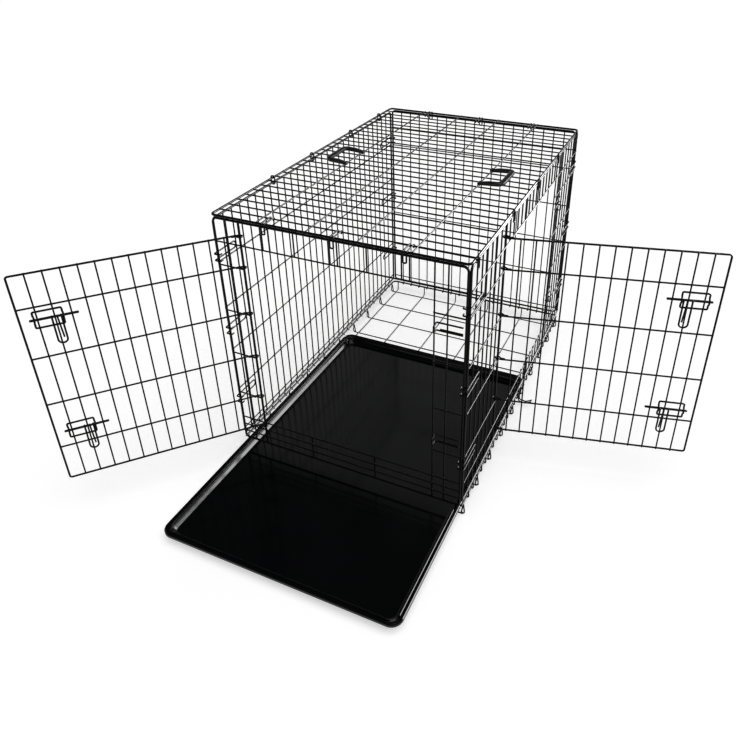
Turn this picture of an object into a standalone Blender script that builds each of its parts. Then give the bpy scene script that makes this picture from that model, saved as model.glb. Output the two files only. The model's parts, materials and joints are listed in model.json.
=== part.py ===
"""Folding wire pet crate with a front door, a side door, slide bolts and a pull-out tray.

Metres, +Z up, +X to the crate's right, -Y to its front. The origin is on the ground, under the
middle of one of the floor's cross wires. Both doors stand open and the tray is pulled out.
Each panel is drawn flat, with x along it, y up it and z out of the crate, and then stood up.
"""

import math

import bmesh
import bpy
from mathutils import Matrix, Vector

# The box between the centre lines of the frame wires
CRATE_WIDTH = 0.584
CRATE_DEPTH = 0.893
TOP_HEIGHT = 0.651
TOP_DROP = 0.011

# Radii of the wires
FRAME_R = 0.0025
DOOR_FRAME_R = 0.002
BAR_R = 0.0017
WIRE_R = 0.0015
CLIP_R = 0.0016
BOLT_R = 0.0025

# Fits: between seated pieces, between an eye and its wire, and how deep a weld sinks
FIT = 0.0003
PLAY = 0.0008
WELD = 0.0004
OVERRUN = 0.0008

# Heights of the floor's rim and of the panels' rows, whose two top ones hang from the top rail
RIM_HEIGHT = 0.036
SIDE_RAIL_HEIGHT = 0.048
FRONT_RAIL_HEIGHT = 0.0405
LOW_ROW = 0.061
SILL_ROWS = (0.064, 0.085, 0.108)
GRID_BASE = 0.184
GRID_ROWS = 4
GRID_DROP = 0.1059
HEADER_DROP = 0.049

# How far the panels' corner uprights stand in from the box, and how their frames bend
END_INSET = 0.0065
SIDE_INSET = 0.0085
FRAME_BEND = 0.010
BEND_STEPS = 3

# Numbers of wires between the frame wires
SIDE_UPRIGHTS = 28
BACK_UPRIGHTS = 18
TOP_CROSS_WIRES = 28
TOP_LONG_WIRES = 4

# Front panel: an upright and the hinge wire from its left end, then the same from its right end
FRONT_LEFT_UPRIGHT = 0.036
FRONT_HINGE = 0.0687
FRONT_RIGHT_UPRIGHT = 0.043
FRONT_RIGHT_STRIP = 0.071

# Uprights under and over the front doorway, from the panel's middle
SILL_UPRIGHTS = (-0.090, 0.077)
HEADER_UPRIGHTS = (-0.167, -0.150, -0.090, -0.006, 0.011, 0.077, 0.152, 0.169)

# Right side panel: which upright is the hinge wire, and the wires behind the doorway
SIDE_HINGE_UPRIGHT = 7
REAR_UPRIGHTS = 6

# Doors, alike: how far they reach past the doorway's edge wire, and up and down
DOOR_OVERLAP = 0.0017
DOOR_BOTTOM = 0.098
DOOR_TOP_DROP = 0.028
DOOR_BEND = 0.012
DOOR_UPRIGHTS = 13
EYE_TAIL = 0.010
FRONT_DOOR_OPEN = math.radians(131.9)
SIDE_DOOR_OPEN = math.radians(76.7)

# Slide bolts: bolt and guide start this far in from the door's edge, the handle from the guide's end
UPPER_BOLT_DROP = 0.135
LOWER_BOLT_HEIGHT = 0.221
BOLT_SETBACK = 0.108
BOLT_LENGTH = 0.092
GUIDE_SETBACK = 0.0785
GUIDE_LENGTH = 0.054
GUIDE_HALF_HEIGHT = 0.0185
GUIDE_BEND = 0.005
BULGE_HALF = 0.004
BULGE_RUN = 0.005
HANDLE_SETBACK = 0.004
HANDLE_WIDTH = 0.018
HANDLE_DROP = 0.065
HANDLE_LEAN = 0.002
KEEPER_HALF_HEIGHT = 0.009

# Hooks that hold the corners, and the curls round the floor's rim
CLIP_LEVELS = (0.16, 0.36, 0.55)
CLIP_HALF_HEIGHT = 0.008
CLIP_REACH = 0.063
CLIP_TIP = 0.0135
CURLS = 3
BACK_CURLS = 5
CURL_TURN = math.radians(112.5)
BACK_CURL_TURN = math.radians(180)

# Hooks of the top panel, from the middle of its edges or from their ends, and its hinge loops
END_HOOKS = (-0.1585, 0.0025, 0.1605)
RIGHT_HOOKS = (-0.1865, 0.0135, 0.2035)
RIGHT_HOOK_MARGIN = 0.029
HINGE_LOOP_GAPS = (7.5, 13.5, 20.5, 26.5)
HOOK_HALF_WIDTH = 0.004
HOOK_DROP = 0.021
HOOK_RISE = 0.005

# Floor
FLOOR_CROSS_WIRES = 10
FLOOR_END = 0.015
ORIGIN_WIRE = 4
FLOOR_EDGE = 0.016
FLOOR_BEND = 0.008
FLOOR_FLAT = 0.0004
RIM_BEND = 0.012
RIM_START = 0.004

# Tray: how much shorter and narrower it is than the crate, and its own sizes
TRAY_SIDE_GAPS = 0.009
TRAY_END_GAPS = 0.031
TRAY_HEIGHT = 0.0265
TRAY_OUT = 0.327
TRAY_CORNER = 0.026
TRAY_SHEET = 0.0018
TRAY_LIP = 0.012
TRAY_LIP_WIDTH = 0.0035
TRAY_GROOVE = 0.0045
TRAY_GROOVE_DEPTH = 0.003
TRAY_RIDGE = 0.005
TRAY_WALL_LEAN = 0.014

# Carry handles on the top panel
GRIP_R = 0.0055
GRIP_REACH = 0.052
GRIP_BEND = 0.012
GRIP_GAPS = (12.5, 15.5)
GRIP_LIFT = 0.0045
FOOT_TAPER = 0.7
FOOT_R = 0.0045
FOOT_LENGTH = 0.012

# Hook that holds the folded crate shut
FOLD_HOOK_GAP = 14.5
FOLD_HOOK_HALF = 0.004
FOLD_HOOK_REACH = 0.034
FOLD_HOOK_DROP = 0.024

LEFT = -CRATE_WIDTH / 2
RIGHT = CRATE_WIDTH / 2
FLOOR_PITCH = (CRATE_DEPTH - 2 * FLOOR_END) / (FLOOR_CROSS_WIRES - 1)
FRONT = -(FLOOR_END + ORIGIN_WIRE * FLOOR_PITCH)
BACK = FRONT + CRATE_DEPTH
RAIL_TOP = TOP_HEIGHT - TOP_DROP
GRID_STEP = (RAIL_TOP - GRID_DROP - GRID_BASE) / (GRID_ROWS - 1)
ROWS = [GRID_BASE + GRID_STEP * row for row in range(GRID_ROWS)]
HEADER_ROW = RAIL_TOP - HEADER_DROP
FRONT_EDGE = CRATE_WIDTH - FRONT_RIGHT_STRIP
DOORWAY_WIDTH = FRONT_EDGE - FRONT_HINGE
DOOR_WIDTH = DOORWAY_WIDTH + DOOR_OVERLAP
DOOR_TOP = RAIL_TOP - DOOR_TOP_DROP
BOLT_LEVELS = {"upper": RAIL_TOP - UPPER_BOLT_DROP, "lower": LOWER_BOLT_HEIGHT}
BOLT_START = DOOR_WIDTH - BOLT_SETBACK
GUIDE_START = DOOR_WIDTH - GUIDE_SETBACK
HANDLE_START = GUIDE_START + HANDLE_SETBACK
TRAY_WIDTH = CRATE_WIDTH - TRAY_SIDE_GAPS
TRAY_LENGTH = CRATE_DEPTH - TRAY_END_GAPS

# Distances out from a panel's plane
LAP = 2 * WIRE_R - WELD
OVER = 2 * WIRE_R + FIT
CLIP_OUT = FRAME_R + CLIP_R - WELD
DOOR_OUT = LAP + WIRE_R + FIT + DOOR_FRAME_R
UPRIGHT_OUT = DOOR_OUT + BAR_R + WIRE_R - WELD
GUIDE_OUT = UPRIGHT_OUT + WIRE_R + FIT + CLIP_R
BOLT_OUT = UPRIGHT_OUT + WIRE_R + FIT + BOLT_R
BULGE_OUT = BOLT_OUT + BOLT_R + FIT + CLIP_R
KEEPER_OUT = WIRE_R + FIT + CLIP_R
KEEPER_BULGE_OUT = BOLT_OUT + BOLT_R + PLAY + CLIP_R
BESIDE_FRAME = FRAME_R + FIT + CLIP_R
CLEAR_OF_FRAME = FRAME_R + FIT

# The door's eyes stand on the panel's rows, and its keepers lie between its edge and the frame
DOOR_ROWS = [row + WIRE_R + BAR_R + FIT for row in ROWS]
KEEPER_SETBACK = DOOR_OVERLAP + DOOR_FRAME_R + PLAY + CLIP_R
KEEPER_LENGTH = FRONT_RIGHT_STRIP - KEEPER_SETBACK - END_INSET - CLEAR_OF_FRAME

# The floor's cross wires are rubbed flat on the ground, and its long wires lie on them
FLOOR_CROSS_HEIGHT = WIRE_R - FLOOR_FLAT
FLOOR_LONG_HEIGHT = FLOOR_CROSS_HEIGHT + LAP
TRAY_BOTTOM = FLOOR_LONG_HEIGHT + WIRE_R + FIT


def clear_scene():
    for obj in list(bpy.data.objects):
        bpy.data.objects.remove(obj, do_unlink=True)


def collection_named(name):
    collection = bpy.data.collections.new(name)
    bpy.context.scene.collection.children.link(collection)
    return collection


def material_named(name, color, roughness, metallic):
    material = bpy.data.materials.new(name)
    material.use_nodes = True
    shader = material.node_tree.nodes["Principled BSDF"]
    shader.inputs["Base Color"].default_value = (*color, 1.0)
    shader.inputs["Roughness"].default_value = roughness
    shader.inputs["Metallic"].default_value = metallic
    return material


def helper(name, data):
    """An object that only helps to make others: hidden from renders and drawn as wire."""
    obj = bpy.data.objects.new(name, data)
    obj.hide_render = True
    obj.display_type = "WIRE"
    HELPERS.objects.link(obj)
    return obj


def evaluated_mesh(obj):
    graph = bpy.context.evaluated_depsgraph_get()
    return bpy.data.meshes.new_from_object(obj.evaluated_get(graph))


def fillet(points, radius, steps, closed=False):
    """The line through the points with each corner turned into an arc of chords."""
    points = [Vector(p) for p in points]
    last = len(points) - 1
    out = []
    for i, corner in enumerate(points):
        if not closed and i in (0, last):
            out.append(corner)
            continue
        back = (points[i - 1] - corner).normalized()
        ahead = (points[(i + 1) % len(points)] - corner).normalized()
        half = back.angle(ahead) / 2
        centre = corner + (back + ahead).normalized() * radius / math.sin(half)
        start = corner + back * radius / math.tan(half) - centre
        end = corner + ahead * radius / math.tan(half) - centre
        for step in range(steps + 1):
            out.append(centre + start.normalized().slerp(end.normalized(), step / steps) * radius)
    return out


def wires(name, runs, radius, sides=4, tilt=math.pi / 2, closed=False, thickness=None):
    """One mesh of separate bent wires, each a list of points, with its ends capped."""
    curve = bpy.data.curves.new(name, "CURVE")
    curve.dimensions = "3D"
    curve.resolution_u = 1
    curve.bevel_depth = radius
    curve.bevel_resolution = (sides - 4) // 2
    curve.use_fill_caps = True
    for run in runs:
        spline = curve.splines.new("POLY")
        spline.points.add(len(run) - 1)
        spline.use_cyclic_u = closed
        for i, (knot, place) in enumerate(zip(spline.points, run)):
            knot.co = (*place, 1.0)
            knot.tilt = tilt
            knot.radius = thickness[i] if thickness else 1.0
    guide = helper(name, curve)
    mesh = evaluated_mesh(guide)
    bpy.data.objects.remove(guide)
    bpy.data.curves.remove(curve)
    weld_caps(mesh)
    return mesh


def weld_caps(mesh):
    soup = bmesh.new()
    soup.from_mesh(mesh)
    bmesh.ops.remove_doubles(soup, verts=soup.verts, dist=1e-6)
    bmesh.ops.recalc_face_normals(soup, faces=soup.faces)
    soup.to_mesh(mesh)
    soup.free()


def fuse(name, meshes, operation="UNION"):
    """The first mesh joined with, or cut by, each of the others."""
    body = helper(name, meshes[0])
    others = [helper(f"{name}_with_{i}", mesh) for i, mesh in enumerate(meshes[1:])]
    for other in others:
        joint = body.modifiers.new(other.name, "BOOLEAN")
        joint.operation = operation
        joint.solver = "EXACT"
        joint.object = other
    mesh = evaluated_mesh(body)
    for obj in [body] + others:
        bpy.data.objects.remove(obj)
    mesh.name = name
    return mesh


def piece(name, mesh, material, place=(0, 0, 0), parent=None, stand=None):
    """A node of the crate. Standing, it turns its drawing's y up and then goes round by `stand`."""
    mesh.materials.clear()
    mesh.materials.append(material)
    mesh.shade_smooth()
    mesh.set_sharp_from_angle(angle=math.radians(35))
    obj = bpy.data.objects.new(name, mesh)
    CRATE.objects.link(obj)
    obj.parent = parent
    obj.location = place
    if stand is not None:
        obj.rotation_euler = (math.pi / 2, 0, stand)
    return obj


def box_corners(x0, y0, x1, y1, z=0.0):
    return [(x0, y0, z), (x1, y0, z), (x1, y1, z), (x0, y1, z)]


def frame_ring(name, x0, y0, x1, y1, z=0.0):
    path = fillet(box_corners(x0, y0, x1, y1, z), FRAME_BEND, BEND_STEPS, closed=True)
    return wires(name, [path], FRAME_R, sides=6, closed=True)


def uprights(xs, y0, y1, z=0.0):
    return [[(x, y0, z), (x, y1, z)] for x in xs]


def rows(ys, x0, x1, z=0.0):
    return [[(x0, y, z), (x1, y, z)] for y in ys]


def spaced(start, end, count):
    """Places that part the stretch evenly, without its two ends."""
    pitch = (end - start) / (count + 1)
    return [start + pitch * (i + 1) for i in range(count)]


def from_middle(length, offsets):
    return [length / 2 + offset for offset in offsets]


def arc(x, y, radius, start, turn, step=math.radians(45)):
    """Points in the plane, from the start angle through the turn."""
    count = max(1, math.ceil(abs(turn) / step - 1e-6))
    angles = [start + turn * i / count for i in range(count + 1)]
    return [(x + radius * math.cos(a), y + radius * math.sin(a)) for a in angles]


def corner_clips(end, towards):
    """Double wires welded along a side panel, which hook round the end panel's corner upright."""
    runs = []
    for level in CLIP_LEVELS:
        leg = [(end + towards * (SIDE_INSET + CLIP_REACH), CLIP_OUT),
               (end - towards * BESIDE_FRAME, CLIP_OUT),
               (end - towards * BESIDE_FRAME, -CLIP_TIP)]
        upper = [(x, level + CLIP_HALF_HEIGHT, z) for x, z in leg]
        lower = [(x, level - CLIP_HALF_HEIGHT, z) for x, z in reversed(leg)]
        runs.append(upper + lower)
    return runs


def rim_curls(xs, rail, turn):
    """Hooks that run down from a panel's bottom rail and curl round the floor's rim."""
    radius = FRAME_R + PLAY + WIRE_R
    runs = []
    for x in xs:
        hook = [(FRAME_R + WIRE_R - WELD, rail + OVERRUN), (radius, RIM_HEIGHT + WIRE_R)]
        hook += arc(0, RIM_HEIGHT, radius, 0, -turn)
        runs.append([(x, y, z) for z, y in hook])
    return runs


def side_curl_places():
    """Between the floor's cross wires, seen from the front end."""
    gaps = [FLOOR_END + FLOOR_PITCH * (i + 0.5) for i in range(FLOOR_CROSS_WIRES - 1)]
    stride = (len(gaps) - 1) / (CURLS - 1)
    return [gaps[round(i * stride)] for i in range(CURLS)]


def left_side_panel():
    near, far = SIDE_INSET, CRATE_DEPTH - SIDE_INSET
    mesh = fuse("left_side_panel", [
        frame_ring("frame", near, SIDE_RAIL_HEIGHT, far, RAIL_TOP),
        wires("uprights", uprights(spaced(near, far, SIDE_UPRIGHTS), SIDE_RAIL_HEIGHT, RAIL_TOP), WIRE_R),
        wires("rows", rows([LOW_ROW] + ROWS, near, far, OVER), WIRE_R),
        wires("clips", corner_clips(0, 1) + corner_clips(CRATE_DEPTH, -1), CLIP_R),
        wires("curls", rim_curls(side_curl_places(), SIDE_RAIL_HEIGHT, CURL_TURN), WIRE_R),
    ])
    return piece("left_side_panel", mesh, BLACK_WIRE, (LEFT, BACK, 0), stand=-math.pi / 2)


def side_pitch():
    return (CRATE_DEPTH - 2 * SIDE_INSET) / (SIDE_UPRIGHTS + 1)


def side_hinge():
    return SIDE_INSET + side_pitch() * SIDE_HINGE_UPRIGHT


def side_edge():
    return side_hinge() + DOORWAY_WIDTH


def side_piece(name, meshes):
    return piece(name, fuse(name, meshes), BLACK_WIRE, (RIGHT, FRONT, 0), stand=math.pi / 2)


def right_side_panel():
    """The side panel with the doorway: its frame, a grille on each side, a header and a sill."""
    near, far = SIDE_INSET, CRATE_DEPTH - SIDE_INSET
    low, high = SIDE_RAIL_HEIGHT + CLEAR_OF_FRAME, RAIL_TOP - CLEAR_OF_FRAME
    hinge, edge, pitch = side_hinge(), side_edge(), side_pitch()
    levels = [LOW_ROW, SILL_ROWS[-1]] + ROWS + [HEADER_ROW]
    curls = rim_curls(side_curl_places(), SIDE_RAIL_HEIGHT, CURL_TURN)
    side_piece("right_side_frame", [
        frame_ring("frame", near, SIDE_RAIL_HEIGHT, far, RAIL_TOP),
        wires("clips", corner_clips(0, 1) + corner_clips(CRATE_DEPTH, -1), CLIP_R),
        wires("curls", curls, WIRE_R),
    ])
    side_piece("right_front_grille", [
        wires("hinge_wire", uprights([hinge], low, high), FRAME_R, sides=6),
        wires("uprights", uprights(spaced(near, hinge, SIDE_HINGE_UPRIGHT - 1), low, high), WIRE_R),
        wires("rows", rows(levels, near + CLEAR_OF_FRAME, hinge, LAP), WIRE_R),
    ])
    side_piece("right_rear_grille", [
        wires("uprights", uprights([edge] + spaced(edge, far, REAR_UPRIGHTS), low, high), WIRE_R),
        wires("rows", rows(levels, edge - OVERRUN, far - CLEAR_OF_FRAME, LAP), WIRE_R),
    ])
    between = [x for x in spaced(near, far, SIDE_UPRIGHTS) if hinge + pitch / 2 < x < edge - pitch / 4]
    start, end = hinge + CLEAR_OF_FRAME, edge - OVERRUN - FIT
    side_piece("right_header", [
        wires("uprights", uprights(between, HEADER_ROW - OVERRUN, high), WIRE_R),
        wires("row", rows([HEADER_ROW], start, end, LAP), WIRE_R),
    ])
    side_piece("right_sill", [
        wires("uprights", uprights(between, low, SILL_ROWS[-1] + OVERRUN), WIRE_R),
        wires("rows", rows([LOW_ROW, SILL_ROWS[-1]], start, end, LAP), WIRE_R),
    ])


def front_piece(name, meshes):
    return piece(name, fuse(name, meshes), BLACK_WIRE, (LEFT, FRONT, 0), stand=0.0)


def front_panel():
    """The end panel with the doorway: its frame, a grille on each side, a header and a sill."""
    near, far = END_INSET, CRATE_WIDTH - END_INSET
    low, high = FRONT_RAIL_HEIGHT + CLEAR_OF_FRAME, RAIL_TOP - CLEAR_OF_FRAME
    levels = list(SILL_ROWS) + ROWS + [HEADER_ROW]
    frame = frame_ring("front_frame", near, FRONT_RAIL_HEIGHT, far, RAIL_TOP)
    piece("front_frame", frame, BLACK_WIRE, (LEFT, FRONT, 0), stand=0.0)
    front_piece("front_left_grille", [
        wires("hinge_wire", uprights([FRONT_HINGE], low, high), FRAME_R, sides=6),
        wires("upright", uprights([FRONT_LEFT_UPRIGHT], low, high), WIRE_R),
        wires("rows", rows(levels, near + CLEAR_OF_FRAME, FRONT_HINGE, LAP), WIRE_R),
    ])
    right = [FRONT_EDGE, CRATE_WIDTH - FRONT_RIGHT_UPRIGHT]
    front_piece("front_right_grille", [
        wires("uprights", uprights(right, low, high), WIRE_R),
        wires("rows", rows(levels, FRONT_EDGE - OVERRUN, far - CLEAR_OF_FRAME, LAP), WIRE_R),
    ])
    start, end = FRONT_HINGE + CLEAR_OF_FRAME, FRONT_EDGE - OVERRUN - FIT
    over, under = from_middle(CRATE_WIDTH, HEADER_UPRIGHTS), from_middle(CRATE_WIDTH, SILL_UPRIGHTS)
    front_piece("front_header", [
        wires("uprights", uprights(over, HEADER_ROW - OVERRUN, high), WIRE_R),
        wires("row", rows([HEADER_ROW], start, end, LAP), WIRE_R),
    ])
    front_piece("front_sill", [
        wires("uprights", uprights(under, low, SILL_ROWS[-1] + OVERRUN), WIRE_R),
        wires("rows", rows(SILL_ROWS, start, end, LAP), WIRE_R),
    ])


def back_panel():
    """The end panel that folds inwards about the floor's rim, which is its origin's height."""
    near, far = END_INSET, CRATE_WIDTH - END_INSET
    levels = [LOW_ROW] + ROWS + [HEADER_ROW]
    curls = spaced(near, far, BACK_CURLS)
    mesh = fuse("back_panel", [
        frame_ring("frame", near, SIDE_RAIL_HEIGHT, far, RAIL_TOP),
        wires("uprights", uprights(spaced(near, far, BACK_UPRIGHTS), SIDE_RAIL_HEIGHT, RAIL_TOP), WIRE_R),
        wires("rows", rows(levels, near, far, OVER), WIRE_R),
        wires("curls", rim_curls(curls, SIDE_RAIL_HEIGHT, BACK_CURL_TURN), WIRE_R),
    ])
    mesh.transform(Matrix.Translation((0, -RIM_HEIGHT, 0)))
    return piece("back_panel", mesh, BLACK_WIRE, (RIGHT, BACK, RIM_HEIGHT), stand=math.pi)


def link_loop(name, centre, half, along, low, high):
    """A flat closed loop of clip wire, standing, its width along the given direction."""
    side = Vector(along) * half
    centre = Vector(centre)
    corners = [centre - side + Vector((0, 0, low)), centre + side + Vector((0, 0, low)),
               centre + side + Vector((0, 0, high)), centre - side + Vector((0, 0, high))]
    return wires(name, [fillet(corners, half * 0.8, 1, closed=True)], CLIP_R, closed=True)


def top_panel():
    """Lifts about the left panel's top rail, which its origin lies on."""
    xs, ys = spaced(0, CRATE_WIDTH, TOP_LONG_WIRES), spaced(0, CRATE_DEPTH, TOP_CROSS_WIRES)
    mesh = fuse("top_panel", [
        frame_ring("frame", 0, 0, CRATE_WIDTH, CRATE_DEPTH, TOP_DROP),
        wires("cross", rows(ys, 0, CRATE_WIDTH, TOP_DROP), WIRE_R),
        wires("long", uprights(xs, 0, CRATE_DEPTH, TOP_DROP + OVER), WIRE_R),
    ])
    top = piece("top_panel", mesh, BLACK_WIRE, (LEFT, FRONT, RAIL_TOP))
    low, high = TOP_DROP - HOOK_DROP, TOP_DROP + HOOK_RISE
    for i, x in enumerate(from_middle(CRATE_WIDTH, END_HOOKS)):
        for end, y in (("front", -BESIDE_FRAME), ("back", CRATE_DEPTH + BESIDE_FRAME)):
            name = f"top_{end}_hook_{i + 1}"
            loop = link_loop(name, (x, y, 0), HOOK_HALF_WIDTH, (1, 0, 0), low, high)
            piece(name, loop, BLACK_WIRE, parent=top)
    inner = from_middle(CRATE_DEPTH, RIGHT_HOOKS)
    for i, y in enumerate([RIGHT_HOOK_MARGIN] + inner + [CRATE_DEPTH - RIGHT_HOOK_MARGIN]):
        name = f"top_right_hook_{i + 1}"
        loop = link_loop(name, (CRATE_WIDTH + BESIDE_FRAME, y, 0), HOOK_HALF_WIDTH, (0, 1, 0), low, high)
        piece(name, loop, BLACK_WIRE, parent=top)
    for i, gap in enumerate(HINGE_LOOP_GAPS):
        loop = hinge_loop(SIDE_INSET + side_pitch() * gap)
        piece(f"top_hinge_loop_{i + 1}", loop, BLACK_WIRE, parent=top)
    return top


def hinge_loop(y):
    """A closed loop round the left panel's top rail and the top frame above it."""
    radius = FRAME_R + PLAY + CLIP_R
    ring = arc(0, 0, radius, math.pi, math.pi) + arc(0, TOP_DROP, radius, 0, math.pi)
    return wires("hinge_loop", [[(x, y, z) for x, z in ring]], CLIP_R, closed=True)


def door_eye(level, tail_first=True):
    """The end of a door wire that curls round the hinge wire, as points x, level, z."""
    curl = [(EYE_TAIL, -DOOR_OUT)] + arc(0, 0, DOOR_OUT, -math.pi / 2, -math.pi)
    path = [(x, level, z) for x, z in curl]
    return path if tail_first else path[::-1]


def door_mesh():
    top_corner = fillet([(0, DOOR_TOP, DOOR_OUT), (DOOR_WIDTH, DOOR_TOP, DOOR_OUT),
                         (DOOR_WIDTH, DOOR_BOTTOM, DOOR_OUT), (0, DOOR_BOTTOM, DOOR_OUT)],
                        DOOR_BEND, BEND_STEPS)
    border = door_eye(DOOR_TOP) + top_corner[1:-1] + door_eye(DOOR_BOTTOM, tail_first=False)
    bars = [door_eye(level) + [(DOOR_WIDTH, level, DOOR_OUT)] for level in DOOR_ROWS]
    xs = spaced(0, DOOR_WIDTH, DOOR_UPRIGHTS)
    return fuse("door", [
        wires("border", [border], DOOR_FRAME_R, sides=6),
        wires("bars", bars, BAR_R),
        wires("uprights", uprights(xs, DOOR_BOTTOM - OVERRUN, DOOR_TOP + OVERRUN, UPRIGHT_OUT), WIRE_R),
    ])


def guide_mesh():
    """A rounded ring on the door's last uprights, whose ends bulge out round the bolt."""
    end = GUIDE_START + GUIDE_LENGTH
    flat, bulge = GUIDE_HALF_HEIGHT, BULGE_HALF + BULGE_RUN
    side = [(-flat, GUIDE_OUT), (-bulge, GUIDE_OUT), (-BULGE_HALF, BULGE_OUT),
            (BULGE_HALF, BULGE_OUT), (bulge, GUIDE_OUT), (flat, GUIDE_OUT)]
    rise = [(end, y, z) for y, z in side]
    fall = [(GUIDE_START, y, z) for y, z in reversed(side)]
    corners = fillet(box_corners(GUIDE_START, -flat, end, flat, GUIDE_OUT), GUIDE_BEND, 1, closed=True)
    path = corners[2:4] + rise[1:5] + corners[4:8] + fall[1:5] + corners[0:2]
    return wires("guide", [path], CLIP_R, closed=True)


def bolt_mesh():
    """A straight rod along x with a short taper at each end."""
    ends = (0, BOLT_R / 2, BOLT_LENGTH - BOLT_R / 2, BOLT_LENGTH)
    return wires("bolt", [[(x, 0, 0) for x in ends]], BOLT_R, sides=8, thickness=(0.6, 1.0, 1.0, 0.6))


def bolt_handle_mesh():
    """A U of wire that hangs from the bolt and swings about its axis."""
    out = BULGE_OUT - BOLT_OUT
    bend = HANDLE_WIDTH / 2 * 0.95
    path = fillet([(0, 0, out), (0, -HANDLE_DROP, out - HANDLE_LEAN),
                   (HANDLE_WIDTH, -HANDLE_DROP, out - HANDLE_LEAN), (HANDLE_WIDTH, 0, out)], bend, 3)
    return wires("bolt_handle", [path], CLIP_R)


def keeper_mesh():
    """A hairpin on the doorway's edge whose closed end stands out round the bolt's path."""
    leg = [(KEEPER_LENGTH, KEEPER_HALF_HEIGHT, KEEPER_OUT), (0, KEEPER_HALF_HEIGHT, KEEPER_OUT),
           (0, KEEPER_HALF_HEIGHT - CLIP_R, KEEPER_BULGE_OUT)]
    path = leg + [(x, -y, z) for x, y, z in reversed(leg)]
    return wires("keeper", [fillet(path, CLIP_R * 1.5, 2)], CLIP_R)


def add_door(prefix, hinge_place, stand, opened):
    """A door standing open, with its guides, bolts and bolt handles on it."""
    door = piece(f"{prefix}_door", door_mesh(), BLACK_WIRE, hinge_place, stand=stand - opened)
    for name, level in BOLT_LEVELS.items():
        guide = guide_mesh()
        piece(f"{prefix}_{name}_guide", guide, BLACK_WIRE, (0, level, 0), parent=door)
        bolt = piece(f"{prefix}_{name}_bolt", bolt_mesh(), BLACK_WIRE,
                     (BOLT_START, level, BOLT_OUT), parent=door)
        piece(f"{prefix}_{name}_bolt_handle", bolt_handle_mesh(), BLACK_WIRE,
              (HANDLE_START - BOLT_START, 0, 0), parent=bolt)
    return door


def doors_and_keepers():
    add_door("front", (LEFT + FRONT_HINGE, FRONT, 0), 0.0, FRONT_DOOR_OPEN)
    add_door("side", (RIGHT, FRONT + side_hinge(), 0), math.pi / 2, SIDE_DOOR_OPEN)
    for name, level in BOLT_LEVELS.items():
        piece(f"front_{name}_keeper", keeper_mesh(), BLACK_WIRE,
              (LEFT + FRONT_EDGE + KEEPER_SETBACK, FRONT, level), stand=0.0)
        piece(f"side_{name}_keeper", keeper_mesh(), BLACK_WIRE,
              (RIGHT, FRONT + side_edge() + KEEPER_SETBACK, level), stand=math.pi / 2)


def floor_basket():
    """Cross wires bent up to the rim at both sides, with long wires on them bent up at the back."""
    cross = []
    for i in range(FLOOR_CROSS_WIRES):
        y = FRONT + FLOOR_END + FLOOR_PITCH * i
        cross.append(fillet([(LEFT, y, RIM_HEIGHT), (LEFT, y, FLOOR_CROSS_HEIGHT),
                             (RIGHT, y, FLOOR_CROSS_HEIGHT), (RIGHT, y, RIM_HEIGHT)], FLOOR_BEND, 2))
    xs = [FLOOR_EDGE] + spaced(0, CRATE_WIDTH, TOP_LONG_WIRES) + [CRATE_WIDTH - FLOOR_EDGE]
    start = FRONT + FLOOR_END - OVERRUN - WIRE_R
    lengthwise = [fillet([(LEFT + x, start, FLOOR_LONG_HEIGHT), (LEFT + x, BACK, FLOOR_LONG_HEIGHT),
                          (LEFT + x, BACK, RIM_HEIGHT)], FLOOR_BEND, 2) for x in xs]
    rim = fillet([(LEFT, FRONT + RIM_START, RIM_HEIGHT), (LEFT, BACK, RIM_HEIGHT),
                  (RIGHT, BACK, RIM_HEIGHT), (RIGHT, FRONT + RIM_START, RIM_HEIGHT)], RIM_BEND, BEND_STEPS)
    mesh = fuse("floor_basket", [
        wires("rim", [rim], FRAME_R, sides=6, tilt=0.0),
        wires("cross", cross, WIRE_R),
        wires("long", lengthwise, WIRE_R),
    ])
    return piece("floor_basket", fuse("floor_basket", [mesh, ground_mesh()], "DIFFERENCE"), BLACK_WIRE)


def ground_mesh():
    """A block that reaches up to the ground's level, under the whole crate."""
    soup = bmesh.new()
    size = 2 * (CRATE_WIDTH + CRATE_DEPTH)
    lower = Matrix.Translation((0, 0, -size / 2))
    bmesh.ops.create_cube(soup, size=size, matrix=lower)
    mesh = bpy.data.meshes.new("ground")
    soup.to_mesh(mesh)
    soup.free()
    return mesh


def tray_outline(inset, height):
    """The tray's rounded rectangle, drawn in by an inset, at a height over its bottom."""
    half_x, half_y = TRAY_WIDTH / 2 - inset, TRAY_LENGTH / 2 - inset
    bend = max(TRAY_CORNER - inset, TRAY_SHEET)
    return fillet(box_corners(-half_x, -half_y, half_x, half_y, height), bend, BEND_STEPS, closed=True)


def tray_profile():
    """Inset and height from the middle of the floor's upper face, over the rim, to its under face."""
    lip = TRAY_LIP_WIDTH
    groove = lip + TRAY_GROOVE
    ridge = groove + TRAY_RIDGE
    foot = ridge + TRAY_WALL_LEAN
    top, dip = TRAY_HEIGHT, TRAY_HEIGHT - TRAY_GROOVE_DEPTH
    sheet = TRAY_SHEET
    over = [(foot, sheet), (ridge, top), (groove + sheet / 4, top), (groove, dip),
            (lip, dip), (lip - sheet / 4, top), (sheet / 2, top), (0, top - sheet / 2)]
    under = [(0, TRAY_LIP), (sheet, TRAY_LIP), (sheet, dip - sheet),
             (ridge + sheet / 2, dip - sheet), (foot - sheet / 2, 0)]
    return over + under


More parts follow.
